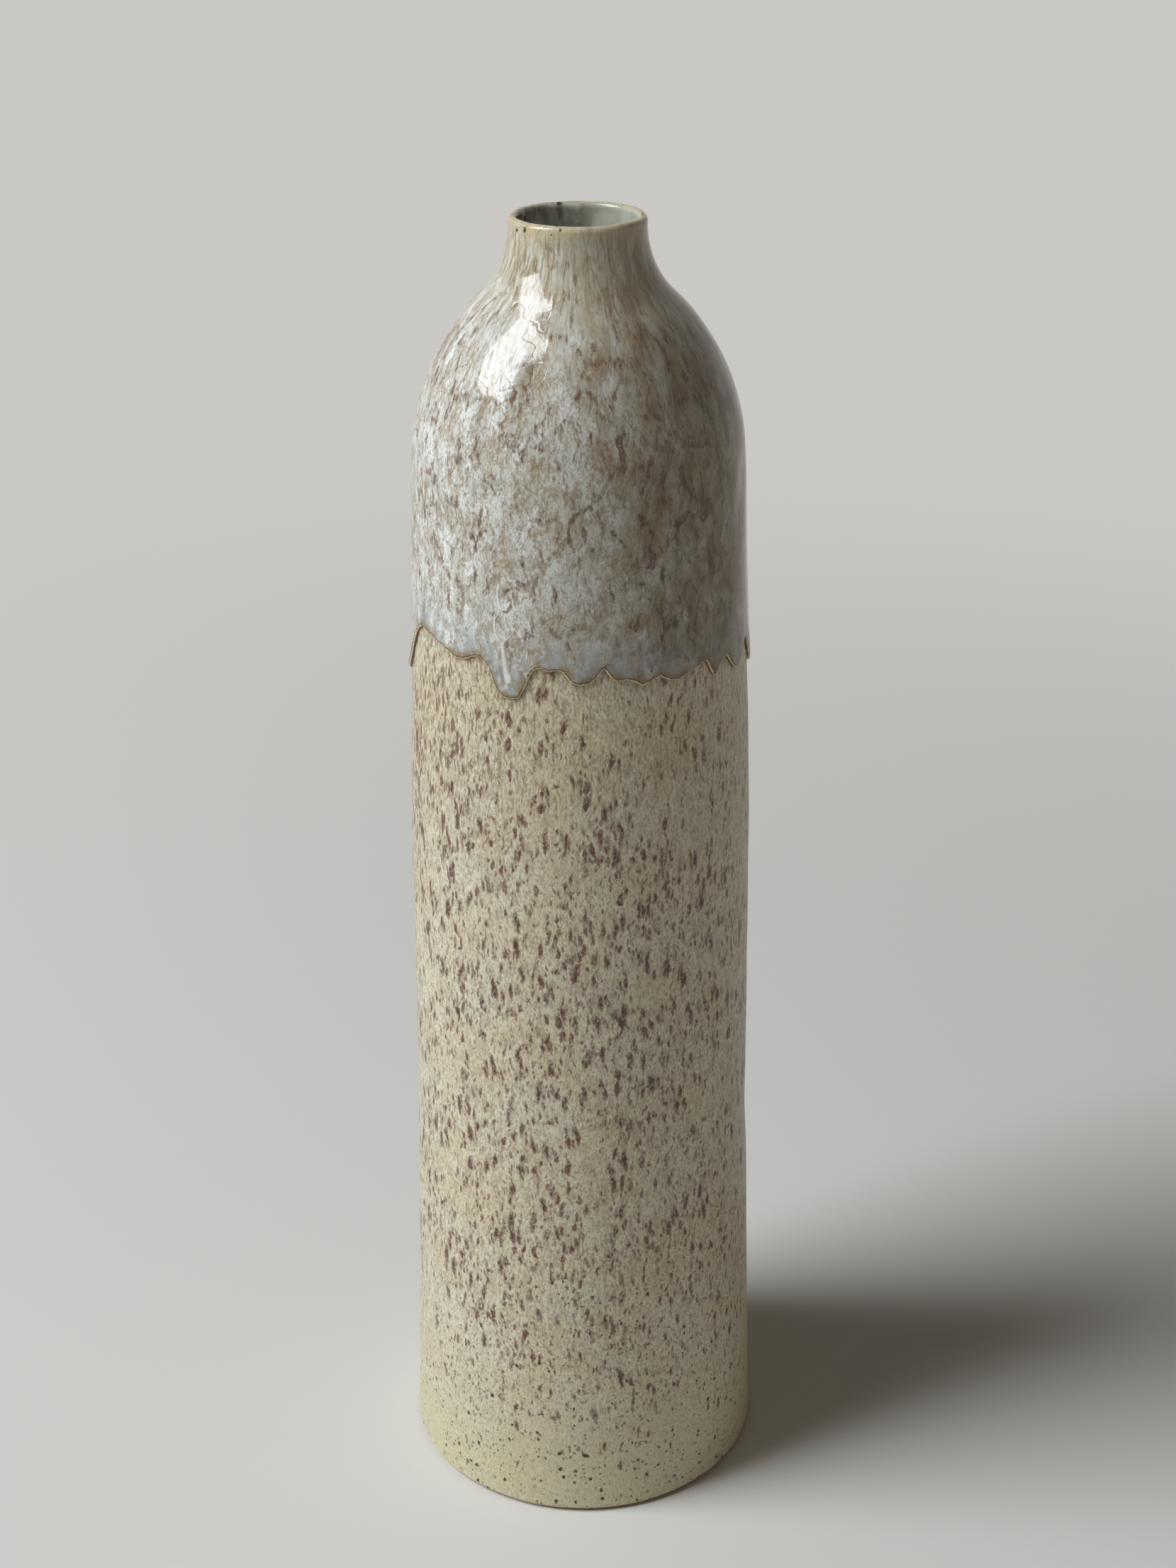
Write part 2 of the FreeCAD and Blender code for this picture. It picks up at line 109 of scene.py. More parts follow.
# Wrinkles of the top coat: the azimuths and heights of a line, its half width at each end and its
# rise
WRINKLES = (
    (((-27.2, 250.2), (-27.6, 247.6), (-26.6, 245.2), (-24.4, 244.8), (-22.9, 246.6)),
     0.42, 0.42, 0.11),
    (((-26.4, 249.6), (-25.2, 247.6)), 0.35, 0.35, 0.08),
    (((-28.2, 243.4), (-28.5, 240.7), (-28.1, 238.6), (-26.8, 237.6)), 0.28, 0.38, 0.12),
    (((-26.8, 237.6), (-25.6, 236.6), (-25.1, 234.0), (-24.5, 231.0), (-23.6, 228.6)),
     0.35, 1.30, 0.10),
    (((-25.4, 237.0), (-23.6, 238.5), (-22.0, 239.4), (-20.9, 241.3)), 0.34, 0.24, 0.10),
    (((-26.2, 242.4), (-25.4, 240.9), (-24.4, 240.2), (-23.6, 238.7)), 0.32, 0.26, 0.08),
    (((-23.0, 234.4), (-21.6, 235.5), (-19.6, 234.8), (-18.6, 232.6), (-19.5, 230.2)),
     0.30, 0.40, 0.045),
    (((-21.9, 233.2), (-20.7, 232.6), (-20.2, 231.0)), 0.30, 0.24, 0.05),
    (((-20.6, 241.6), (-19.2, 240.4), (-18.9, 238.6)), 0.36, 0.30, 0.08),
    (((-19.8, 236.6), (-18.2, 237.2), (-16.8, 235.8), (-17.2, 233.8)), 0.36, 0.30, 0.09),
    (((-17.2, 246.0), (-15.4, 243.0), (-15.8, 239.8)), 0.50, 0.40, 0.06),
    (((-35.4, 243.5), (-34.0, 241.0), (-34.4, 237.8)), 0.40, 0.70, 0.05),
    (((-11.6, 240.0), (-10.2, 237.0), (-10.6, 234.4)), 0.36, 0.60, 0.05),
    (((33.0, 262.0), (36.5, 259.0), (37.0, 255.0), (34.5, 252.0)), 0.50, 0.40, 0.07),
    (((120.0, 240.0), (123.5, 236.5), (123.0, 232.0), (126.0, 228.5)), 0.36, 0.80, 0.10),
    (((163.0, 242.0), (165.5, 238.0), (164.5, 233.0), (167.5, 228.0)), 0.36, 0.90, 0.10),
    (((228.0, 246.0), (230.5, 241.5), (229.5, 237.5), (232.0, 233.0)), 0.40, 0.80, 0.10),
    (((262.0, 243.0), (265.0, 238.5), (264.0, 233.5), (268.5, 228.5)), 0.40, 1.00, 0.10),
)

RANDOM = np.random.default_rng(41)
LATTICE_SIZE = 64
LATTICE = RANDOM.random((LATTICE_SIZE,) * 3) * 2 - 1


# Numbers

def smooth(low, high, value):
    """0 below low, 1 above high and an even curve between."""
    share = np.clip((value - low) / (high - low), 0, 1)
    return share * share * (3 - 2 * share)


def lumps(points, cell):
    """Even noise between -1 and 1 at each point, for lumps of the size of a cell (x, y, z)."""
    place = points / np.asarray(cell, float)
    corner = np.floor(place).astype(int)
    part = place - corner
    part = part * part * (3 - 2 * part)
    total = np.zeros(points.shape[:-1])
    for step in np.ndindex(2, 2, 2):
        weight = np.prod(np.where(step, part, 1 - part), axis=-1)
        x, y, z = np.moveaxis((corner + step) % LATTICE_SIZE, -1, 0)
        total += weight * LATTICE[x, y, z]
    return total


def round_from(middle, azimuth):
    """Degrees from a middle azimuth to each azimuth, between -180 and 180."""
    return (azimuth - middle + 180) % 360 - 180


def round_wall(azimuth, radius, height):
    """Points at a radius and a height, at azimuths in degrees from the front towards +X."""
    angle = np.radians(azimuth)
    return np.stack(np.broadcast_arrays(radius * np.sin(angle), -radius * np.cos(angle), height),
                    axis=-1)


def stroke_distance(azimuth, height, line, start_width, end_width):
    """How far each place on the wall is from a line of (azimuth, height) points, in half widths."""
    nearest = np.full(np.broadcast(azimuth, height).shape, np.inf)
    for step, ((start_a, start_z), (end_a, end_z)) in enumerate(zip(line, line[1:])):
        run = np.array([(end_a - start_a) * MM_PER_DEGREE, end_z - start_z])
        across = round_from(start_a, azimuth) * MM_PER_DEGREE
        up = height - start_z
        share = np.clip((across * run[0] + up * run[1]) / (run @ run), 0, 1)
        width = start_width + (end_width - start_width) * (step + share) / (len(line) - 1)
        away = np.hypot(across - share * run[0], up - share * run[1])
        nearest = np.minimum(nearest, away / width)
    return nearest


# Profiles

def skin(body_off, shoulder_off, neck_r):
    """The corners of an outer surface from waist to neck, as (radius, height, round)."""
    line = SHOULDER_SUM + math.sqrt(2) * (shoulder_off - DRIP_COAT)
    shoulder_r = SHOULDER_R + shoulder_off
    return [
        (WAIST[0] + body_off, WAIST[1], BLEND),
        (BELLY[0] + body_off, BELLY[1], BLEND),
        (shoulder_r, line - shoulder_r, BREADTH * SHOULDER_ROUND_SHARE + shoulder_off),
        (neck_r, line - neck_r, (shoulder_r - neck_r) * NECK_ROUND_SHARE),
    ]


def rounded(corners):
    """A fine line through corners of (radius, height, round), with arcs for the rounds."""
    places = np.array([corner[:2] for corner in corners], float)
    line = [places[0]]
    for i in range(1, len(places) - 1):
        into = places[i] - places[i - 1]
        away = places[i + 1] - places[i]
        into /= np.linalg.norm(into)
        away /= np.linalg.norm(away)
        turn = math.atan2(into[0] * away[1] - into[1] * away[0], into @ away)
        radius = corners[i][2]
        start = places[i] - into * radius * math.tan(abs(turn) / 2)
        side = np.array([-into[1], into[0]]) * math.copysign(1, turn)
        centre = start + side * radius
        for share in np.linspace(0, 1, max(3, int(radius * abs(turn) / ARC_STEP))):
            angle = turn * share
            arm = -side * radius
            line.append(centre + np.array([
                arm[0] * math.cos(angle) - arm[1] * math.sin(angle),
                arm[0] * math.sin(angle) + arm[1] * math.cos(angle),
            ]))
    line.append(places[-1])
    return np.array(line)


def half_round(start, end, side, count=24):
    """A half circle from start to end, bulging upwards for side 1."""
    start = np.array(start)
    end = np.array(end)
    centre = (start + end) / 2
    arm = start - centre
    angles = np.linspace(0, side * math.pi, count)
    return np.stack([centre[0] + arm[0] * np.cos(angles) - arm[1] * np.sin(angles),
                     centre[1] + arm[0] * np.sin(angles) + arm[1] * np.cos(angles)], axis=-1)


def lengths_along(line):
    """The length from the start of a line to each of its points."""
    return np.concatenate([[0], np.cumsum(np.linalg.norm(np.diff(line, axis=0), axis=1))])


def points_along(line, lengths):
    """Points and outward normals at lengths along a line that runs upwards on the outside."""
    whole = lengths_along(line)
    place = np.stack([np.interp(lengths, whole, line[:, i]) for i in (0, 1)], axis=-1)
    reach = 0.2
    ahead = np.stack([np.interp(lengths + reach, whole, line[:, i]) for i in (0, 1)], axis=-1)
    behind = np.stack([np.interp(lengths - reach, whole, line[:, i]) for i in (0, 1)], axis=-1)
    along = ahead - behind
    along /= np.linalg.norm(along, axis=1)[:, None]
    return place, np.stack([along[:, 1], -along[:, 0]], axis=-1)


CREAM_NECK_R = NECK_R - LIP_COAT / 2
CLAY_NECK_R = NECK_R - LIP_COAT
THROAT_R = NECK_R - LIP
CREAM_LINE = rounded([(FOOT_R, FOOT_BEVEL), *skin(0, 0, CREAM_NECK_R), (CREAM_NECK_R, LIP_Z)])
CLAY_LINE = rounded([(FOOT_R - CREAM_COAT, FOOT_BEVEL),
                     *skin(-CREAM_COAT, -CREAM_COAT, CLAY_NECK_R), (CLAY_NECK_R, LIP_Z)])
GLAZED_LINE = rounded([(FOOT_R + DRIP_COAT, FOOT_BEVEL), *skin(DRIP_COAT, DRIP_COAT, NECK_R),
                       (NECK_R, LIP_Z)])


def cream_radius(height):
    """The radius of the cream coat's turned form at each height."""
    return np.interp(height, CREAM_LINE[:, 1], CREAM_LINE[:, 0])


# The hand in the clay and in the glaze

# Shallow hollows of the wall: azimuth, height, half width in degrees, half height and depth
HOLLOWS = ((82, 99, 38, 8.5, 0.38), (-60, 203, 30, 12, 0.16))

# How far the finer skins stay inside the turned form, so that no wave stands out of the solids
WALL_DRAWN_IN = 0.12


def hollow(azimuth, height, middle, level, half_width, half_height, depth):
    """A soft hollow round a middle azimuth and a level."""
    across = round_from(middle, azimuth) / half_width
    return -depth * np.exp(-across ** 2 - ((height - level) / half_height) ** 2)


def hand_in_clay(azimuth, height):
    """How far the thrown wall stands off its turned form, in millimetres."""
    angle = np.radians(azimuth)
    slow = 0.10 * np.sin(2 * angle + 0.6 + height / 71)
    skew = 0.07 * np.sin(3 * angle - 1.1 - height / 37)
    throwing_rings = 0.035 * np.sin(height / 4.1 + 1.7 * np.sin(angle + 0.4))
    wave = slow + skew + throwing_rings - WALL_DRAWN_IN
    fade = smooth(1.5, 24, height) * (1 - smooth(280, 300, height))
    return (wave + sum(hollow(azimuth, height, *place) for place in HOLLOWS)) * fade


def edge_height(azimuth):
    """The height of the drip line at azimuths in degrees."""
    height = np.zeros_like(azimuth, dtype=float)
    first = LOBES[0][0][0]
    turned = first + (azimuth - first) % 360
    for lobe, after in zip(LOBES, LOBES[1:] + LOBES[:1]):
        end = after[0] if after[0][0] > lobe[0][0] else (after[0][0] + 360, after[0][1])
        knots = np.array([*lobe, end])
        inside = (turned >= knots[0, 0]) & (turned <= knots[-1, 0])
        height[inside] = curve_through(knots, turned[inside])
    wall = round_wall(azimuth, WALL_R, 0 * azimuth)
    uneven = 0.17 * lumps(wall, (1.9, 1.9, 1)) + 0.13 * lumps(wall + 5, (0.9, 0.9, 1))
    return DRIP_LINE - LONGEST_DRIP * height + uneven


def curve_through(knots, places):
    """A natural cubic through (place, value) knots."""
    x, y = knots.T
    gap = np.diff(x)
    slope = np.diff(y) / gap
    count = len(x)
    matrix = np.eye(count)
    right = np.zeros(count)
    for i in range(1, count - 1):
        matrix[i, i - 1:i + 2] = gap[i - 1], 2 * (gap[i - 1] + gap[i]), gap[i]
        right[i] = 6 * (slope[i] - slope[i - 1])
    bend = np.linalg.solve(matrix, right)
    i = np.clip(np.searchsorted(x, places) - 1, 0, count - 2)
    before = places - x[i]
    left = x[i + 1] - places
    return ((bend[i] * left ** 3 + bend[i + 1] * before ** 3) / (6 * gap[i])
            + (y[i] / gap[i] - bend[i] * gap[i] / 6) * left
            + (y[i + 1] / gap[i] - bend[i + 1] * gap[i] / 6) * before)


def wall_azimuths(step, wrinkled_step):
    """Azimuths once round, with one on each sharp crest between lobes, closer at the wrinkles."""
    places = []
    for lobe, after in zip(LOBES, LOBES[1:] + LOBES[:1]):
        start = lobe[0][0]
        end = after[0][0] if after[0][0] > start else after[0][0] + 360
        count = max(2, round((end - start) / (wrinkled_step if start == LONG_DRIP_START else step)))
        places.extend(np.linspace(start, end, count, endpoint=False))
    return np.array(places)


def above_edge(azimuth, height):
    """How far each place above the drip line is from it, in millimetres along the wall."""
    fine = np.arange(-180, 180, 0.2)
    fine_z = edge_height(fine)
    nearest = np.full(height.shape, np.inf)
    for shift in np.arange(-9, 9.01, 0.2):
        line_z = np.interp(round_from(0, azimuth + shift), fine, fine_z, period=360)
        nearest = np.minimum(nearest, np.hypot(shift * MM_PER_DEGREE, height - line_z))
    straight = height - np.interp(round_from(0, azimuth), fine, fine_z, period=360)
    return np.where(straight < 0.02, 0.0, np.minimum(nearest, straight))


def wrinkles(azimuth, height):
    """How far the wrinkles stand up at each place, in millimetres."""
    rise = np.zeros(np.broadcast(azimuth, height).shape)
    for line, start_width, end_width, top in WRINKLES:
        away = stroke_distance(azimuth, height, line, start_width, end_width)
        rise = np.maximum(rise, top * np.exp(-away ** 2))
    return rise


def hand_in_glaze(points, azimuth, height):
    """How far the top coat's skin stands off an even coat, in millimetres."""
    wave = 0.15 * lumps(points, (13, 13, 19))
    wave = wave + 0.17 * lumps(points + 31, (5.5, 5.5, 8.5))
    wave = wave + 0.010 * lumps(points + 77, (2.4, 2.4, 6))
    ridges = 1 - np.abs(lumps(points + 11, (4.2, 4.2, 7.0)))
    patch = smooth(0.05, 0.6, lumps(points + 53, (17, 17, 21)))
    wave = wave + 0.07 * patch * smooth(0.86, 1.0, ridges) * smooth(222, 240, height)
    wave = wave * (1 - 0.5 * smooth(296, 312, height))
    return wave + wrinkles(azimuth, height)


# Meshes

def grid_mesh(name, points, wall_u, wall_v, marks):
    """A closed skin from rings of points (ring, azimuth, xyz) in millimetres, with named marks."""
    rings, around = points.shape[:2]
    index = np.arange(rings * around).reshape(rings, around)
    after = np.roll(index, -1, axis=1)
    above = np.roll(index, -1, axis=0)
    above_after = np.roll(above, -1, axis=1)
    faces = np.stack([index, after, above_after, above], axis=-1).reshape(-1, 4)
    mesh = bpy.data.meshes.new(name)
    mesh.from_pydata((points.reshape(-1, 3) / 1000).tolist(), [], faces.tolist())
    mesh.polygons.foreach_set("use_smooth", np.ones(len(faces), bool))
    for mark, values in marks.items():
        layer = mesh.attributes.new(mark, "FLOAT", "POINT")
        layer.data.foreach_set("value", np.asarray(values, np.float32).reshape(-1))
    lay_out(mesh, wall_u, wall_v)
    mesh.validate()
    mesh.update()
    piece = bpy.data.objects.new(name, mesh)
    bpy.context.scene.collection.objects.link(piece)
    return piece


def lay_out(mesh, wall_u, wall_v):
    """Unrolls the skin flat: u once round, v along the profile."""
    rings = len(wall_v) - 1
    around = len(wall_u) - 1
    left = np.broadcast_to(wall_u[:-1], (rings, around))
    right = np.broadcast_to(wall_u[1:], (rings, around))
    low = np.broadcast_to(wall_v[:-1, None], (rings, around))
    high = np.broadcast_to(wall_v[1:, None], (rings, around))
    corners = np.stack([left, low, right, low, right, high, left, high], axis=-1)
    mesh.uv_layers.new(name="OFBake").data.foreach_set("uv", corners.reshape(-1).astype(np.float32))


def unrolled(azimuths, lengths):
    """u and v of each grid line, at one scale, with the skin's whole height inside the square."""
    wall_u = np.append(azimuths, azimuths[0] + 360)
    room = 1 - 2 * UV_MARGIN
    return UV_MARGIN + room * (wall_u - wall_u[0]) / 360, UV_MARGIN + room * lengths / lengths[-1]


def cream_coat():
    """The speckled coat from the foot to under the lip, a closed skin on the clay.

    Its rings are close at the foot, even up to where the drip coat covers it, and wider above.
    """
    azimuths = np.arange(0, 360, 1.0) - 180
    covered = 250
    spacing = np.concatenate([np.linspace(0, 1.2, 6)[:-1], np.arange(1.2, covered, 1.25),
                              np.linspace(covered, lengths_along(CREAM_LINE)[-1], 34)])
    place, normal = points_along(CREAM_LINE, spacing)
    rolled = 0.42 * (1 - smooth(0, 1.1, spacing)) ** 2
    off = hand_in_clay(azimuths[None, :], place[:, 1:2]) - rolled[:, None]
    edge_wave = lumps(round_wall(azimuths, FOOT_R, 0 * azimuths), (7, 7, 1))
    foot_lift = 0.176 * (1 - edge_wave) * (1 - smooth(0, 1.0, spacing))[:, None]
    radius = place[:, :1] + normal[:, :1] * off
    height = place[:, 1:] + normal[:, 1:] * off + foot_lift
    outside = round_wall(azimuths[None, :], radius, height)
    back = np.concatenate([np.linspace(lengths_along(CLAY_LINE)[-1], covered, 26)[:-1],
                           np.linspace(covered, 0, 10)])
    clay, _ = points_along(CLAY_LINE, back)
    inside = round_wall(azimuths[None, :], clay[:, :1] - 0.05 + 0 * azimuths, clay[:, 1:])
    rings = np.concatenate([outside, inside])
    hidden = spacing[-1] + 0.6 + np.linspace(0, 12, len(back))
    wall_u, wall_v = unrolled(azimuths, np.concatenate([spacing, hidden, [hidden[-1] + 0.6]]))
    below = edge_height(azimuths) - rings[..., 2]
    return grid_mesh("cream_coat", rings, wall_u, wall_v, {"below_edge": below})


def drip_thickness(distance, azimuth):
    """The top coat's thickness near its edge: a rolled bead, pooled thicker above it."""
    bead = np.sqrt(np.clip(1 - (1 - np.clip(distance / 0.7, 0, 1)) ** 2, 0, 1))
    hang = smooth(DRIP_LINE - 2, DRIP_LINE - LONGEST_DRIP, edge_height(azimuth))
    pooled = (0.06 + 0.16 * hang) * np.exp(-((distance - 1.8) / 3.2) ** 2)
    return (DRIP_COAT + pooled) * bead


def edge_rings(azimuths):
    """Rings that follow the drip line, up to the join: points, distance from the line, wrinkles."""
    edge = edge_height(azimuths)
    share = np.concatenate([[0, 0.004, 0.009, 0.015, 0.022, 0.031, 0.042, 0.055, 0.072],
                            np.linspace(0.092, 1, 44)])
    height = edge + share[:, None] * (JOIN_Z - edge)
    azimuth = np.broadcast_to(azimuths, height.shape)
    distance = above_edge(azimuth, height)
    thick = drip_thickness(distance, azimuths)
    thick = thick + (DRIP_COAT - thick) * smooth(16, 24, distance)
    radius = cream_radius(height) + hand_in_clay(azimuth, height) + thick
    ripple = hand_in_glaze(round_wall(azimuth, radius, height), azimuth, height)
    radius = radius + ripple * smooth(0.1, 1.6, distance)
    return round_wall(azimuth, radius, height), distance, wrinkles(azimuth, height)


def level_rings(azimuths):
    """Rings from the join over shoulder, neck and lip into the throat: points, length, wrinkles."""
    line = np.concatenate([
        GLAZED_LINE,
        half_round((NECK_R, LIP_Z), (THROAT_R, LIP_Z), 1)[1:],
        [(THROAT_R, THROAT_COAT_END)],
    ])
    whole = lengths_along(line)
    start = np.interp(JOIN_Z, GLAZED_LINE[:, 1], whole[:len(GLAZED_LINE)])
    lip = whole[len(GLAZED_LINE) - 1]
    spacing = np.concatenate([
        np.arange(start + 1.2, lip - 4, 1.2),
        np.linspace(lip - 4, lip + 4.4, 21),
        np.linspace(lip + 5.2, whole[-1], 9),
    ])
    place, normal = points_along(line, spacing)
    level = place[:, 1:] + 0 * azimuths
    azimuth = np.broadcast_to(azimuths, level.shape)
    even = round_wall(azimuth, place[:, :1] + 0 * azimuths, level)
    below_lip = 1 - smooth(lip - 3, lip, spacing)[:, None]
    off = hand_in_clay(azimuth, level)
    off = off + hand_in_glaze(even, azimuth, level) * (0.25 + 0.75 * below_lip)
    room = 0.14 + 0.34 * (1 - smooth(296, 311, place[:, 1:]))
    off = np.clip(off, -room, 0.6 * below_lip) - 0.05 * (1 - below_lip)
    uneven_lip = lumps(round_wall(azimuths, NECK_R, 0 * azimuths), (9, 9, 1))
    dip = 0.22 * (uneven_lip - 1) * (1 - below_lip) * smooth(316, 321, place[:, 1:])
    radius = place[:, :1] + normal[:, :1] * off
    height = place[:, 1:] + normal[:, 1:] * off + dip
    return round_wall(azimuths, radius, height), spacing - start, wrinkles(azimuth, level)


def back_rings(azimuths):
    """The coat's hidden face on the clay and the cream coat, from the throat to the drip line."""
    throat_back_r = CLAY_NECK_R - LIP + 2 * LIP_COAT
    cream_top = lengths_along(CREAM_LINE)[-1]
    under, under_normal = points_along(CREAM_LINE, np.linspace(cream_top - 1.5, cream_top - 74, 20))
    back = np.concatenate([
        [(throat_back_r, THROAT_COAT_END)],
        half_round((throat_back_r, LIP_Z), (CLAY_NECK_R, LIP_Z), -1, 7) - (0, 0.12),
        [(CREAM_NECK_R, LIP_Z - 0.3)],
        under - 0.1 * under_normal,
    ])
    upper = round_wall(azimuths, back[:, :1] + 0 * azimuths, back[:, 1:] + 0 * azimuths)
    edge = edge_height(azimuths)
    height = edge + np.array([0.66, 0.33, 0.0])[:, None] * (back[-1, 1] - edge)
    azimuth = np.broadcast_to(azimuths, height.shape)
    radius = cream_radius(height) + hand_in_clay(azimuth, height) - 0.04
    return np.concatenate([upper, round_wall(azimuth, radius, height)])


def drip_coat():
    """The top coat: from the drip line over shoulder, neck and lip into the throat."""
    azimuths = wall_azimuths(0.74, 0.36)
    low, distance, low_ridges = edge_rings(azimuths)
    high, lengths, high_ridges = level_rings(azimuths)
    back = back_rings(azimuths)
    far = np.full((len(high) + len(back), len(azimuths)), FAR_ABOVE)
    flat = np.zeros((len(back), len(azimuths)))
    shown = np.concatenate([0.5 * np.arange(1, len(low) + 1), lengths + 0.5 * len(low)])
    hidden = shown[-1] + 0.4 + np.linspace(0, 8, len(back))
    wall_u, wall_v = unrolled(azimuths, np.concatenate([shown, hidden, [hidden[-1] + 0.4]]))
    marks = {"above_edge": np.concatenate([distance, far]),
             "wrinkle": np.concatenate([low_ridges, high_ridges, flat])}
    return grid_mesh("drip_coat", np.concatenate([low, high, back]), wall_u, wall_v, marks)


# Materials

class Nodes:
    """Adds nodes to a new material and links them. Its base is the colour of the layers so far."""

    def __init__(self, name, roughness, specular=0.5):
        self.material = bpy.data.materials.new(name)
        self.material.use_nodes = True
        self.tree = self.material.node_tree
        self.shader = self.tree.nodes["Principled BSDF"]
        self.shader.inputs["Roughness"].default_value = roughness
        self.shader.inputs["Specular IOR Level"].default_value = specular
        place = self.add("ShaderNodeTexCoord").outputs["Object"]
        self.place = self.scaled(place, (1000, 1000, 1000))
        parts = self.add("ShaderNodeSeparateXYZ", {0: self.place})
        self.side = parts.outputs["X"]
        self.height = parts.outputs["Z"]
        self.flow = self.down_the_wall()

    def add(self, kind, inputs=None, **settings):
        node = self.tree.nodes.new(kind)
        for key, value in settings.items():
            setattr(node, key, value)
        for key, value in (inputs or {}).items():
            self.feed(node.inputs[key], value)
        return node

    def feed(self, socket, value):
        if isinstance(value, bpy.types.NodeSocket):
            self.tree.links.new(value, socket)
        else:
            socket.default_value = value

    def maths(self, operation, *values):
        node = self.add("ShaderNodeMath", dict(enumerate(values)), operation=operation)
        return node.outputs[0]

    def plus(self, *values):
        total = values[0]
        for value in values[1:]:
            total = self.maths("ADD", total, value)
        return total

    def times(self, *values):
        total = values[0]
        for value in values[1:]:
            total = self.maths("MULTIPLY", total, value)
        return total

    def scaled(self, vector, factors):
        node = self.add("ShaderNodeVectorMath", {0: vector, 1: factors}, operation="MULTIPLY")
        return node.outputs[0]

    def moved(self, vector, by):
        return self.add("ShaderNodeVectorMath", {0: vector, 1: by}, operation="ADD").outputs[0]

    def ramp(self, value, low, high, start=0.0, end=1.0):
        """start where value is at low, end where it is at high, and a curve between."""
        inputs = {"Value": value, "From Min": low, "From Max": high, "To Min": start, "To Max": end}
        node = self.add("ShaderNodeMapRange", inputs, interpolation_type="SMOOTHSTEP")
        return node.outputs["Result"]

    def noise(self, vector, scale, detail=2.0, roughness=0.5, warp=0.0):
        inputs = {"Vector": vector, "Scale": scale, "Detail": detail, "Roughness": roughness,
                  "Distortion": warp}
        return self.add("ShaderNodeTexNoise", inputs, noise_dimensions="3D").outputs["Fac"]

    def warped(self, vector, scale, reach):
        """The coordinates pushed about by noise."""
        push = self.add("ShaderNodeTexNoise", {"Vector": vector, "Scale": scale, "Detail": 2.0})
        centred = self.moved(push.outputs["Color"], (-0.5, -0.5, -0.5))
        return self.moved(vector, self.scaled(centred, (reach, reach, reach)))

    def down_the_wall(self):
        """Coordinates in which stretched patterns also run down the slope of the shoulder."""
        level = self.scaled(self.place, (1, 1, 0))
        radius = self.length(level)
        self.radius = radius
        spread = self.maths("MULTIPLY_ADD", radius, SLOPE_SHARE, WALL_R * (1 - SLOPE_SHARE))
        factor = self.maths("DIVIDE", spread, self.maths("MAXIMUM", radius, 1.0))
        wide = self.add("ShaderNodeVectorMath", {0: level, "Scale": factor}, operation="SCALE")
        return self.moved(wide.outputs[0], self.scaled(self.place, (0, 0, 1)))

    def length(self, vector):
        return self.add("ShaderNodeVectorMath", {0: vector}, operation="LENGTH").outputs["Value"]

    def near(self, point, low_share, reach):
        """1 within a reach of a point and 0 past it, with heights counted at a share."""
        away = self.scaled(self.moved(self.place, [-part for part in point]), (1, 1, low_share))
        return self.ramp(self.length(away), reach, 0.55 * reach)

    def upright(self, vector, stretch):
        """Coordinates in which a round pattern comes out stretched upwards."""
        return self.scaled(vector, (1, 1, 1 / stretch))

    def mix(self, share, low, high):
        node = self.add("ShaderNodeMix", data_type="RGBA")
        self.feed(node.inputs[0], share)
        self.feed(node.inputs[6], low)
        self.feed(node.inputs[7], high)
        return node.outputs[2]

    def paint(self, tint, *shares):
        """Lays a colour over the surface so far, as much as the product of the shares."""
        self.base = self.mix(self.times(*shares), self.base, tint)

    def mark(self, name):
        return self.add("ShaderNodeAttribute", attribute_name=name).outputs["Fac"]

    def flecks(self, vector, cell, width, density, soft, shift, ragged=0.0):
        """A mask of flecks, one in each cell that passes the density, with soft or ragged rims."""
        place = self.moved(self.scaled(vector, (1 / cell,) * 3), (shift, shift * 2.3, -shift))
        inputs = {"Vector": place, "Scale": 1.0, "Randomness": 1.0}
        cells = self.add("ShaderNodeTexVoronoi", inputs, feature="F1")
        dice = self.add("ShaderNodeSeparateColor", {0: cells.outputs["Color"]})
        radius = self.maths("MULTIPLY_ADD", dice.outputs["Green"], width / cell,
                            0.35 * width / cell)
        inside = self.maths("SUBTRACT", radius, cells.outputs["Distance"])
        if ragged:
            uneven = self.noise(vector, 1.3 / width, 2.0, 0.6)
            inside = self.maths("MULTIPLY_ADD", uneven, ragged / cell, inside)
            inside = self.maths("SUBTRACT", inside, 0.5 * ragged / cell)
        mask = self.ramp(inside, -0.5 * soft / cell, 0.5 * soft / cell)
        chosen = self.ramp(self.maths("SUBTRACT", density, dice.outputs["Red"]), 0.0, 0.06)
        return self.times(mask, chosen)

    def network(self, vector, scale, half_width):
        """Thin lines round cells, 1 on the line."""
        inputs = {"Vector": vector, "Scale": scale, "Randomness": 1.0}
        cells = self.add("ShaderNodeTexVoronoi", inputs, feature="DISTANCE_TO_EDGE")
        return self.ramp(cells.outputs["Distance"], half_width * scale, 0.0)

    def middle_line(self, noise, outer, inner=0.0):
        """1 along the lines where a noise passes its middle value, and 0 away from them."""
        from_middle = self.maths("ABSOLUTE", self.maths("SUBTRACT", noise, 0.5))
        return self.ramp(from_middle, outer, inner)

    def finish(self, relief, reach):
        """Gives the shader its colour and a relief with a reach in metres."""
        self.feed(self.shader.inputs["Base Color"], self.base)
        inputs = {"Height": relief, "Strength": 1.0, "Distance": reach}
        self.feed(self.shader.inputs["Normal"], self.add("ShaderNodeBump", inputs).outputs[0])
        return self.material


def colour(red, green, blue):
    """A colour as a screen shows it, 0 to 255, in the renderer's linear numbers."""
    shares = [value / 255 for value in (red, green, blue)]
    return (*[s / 12.92 if s <= 0.04045 else ((s + 0.055) / 1.055) ** 2.4 for s in shares], 1.0)


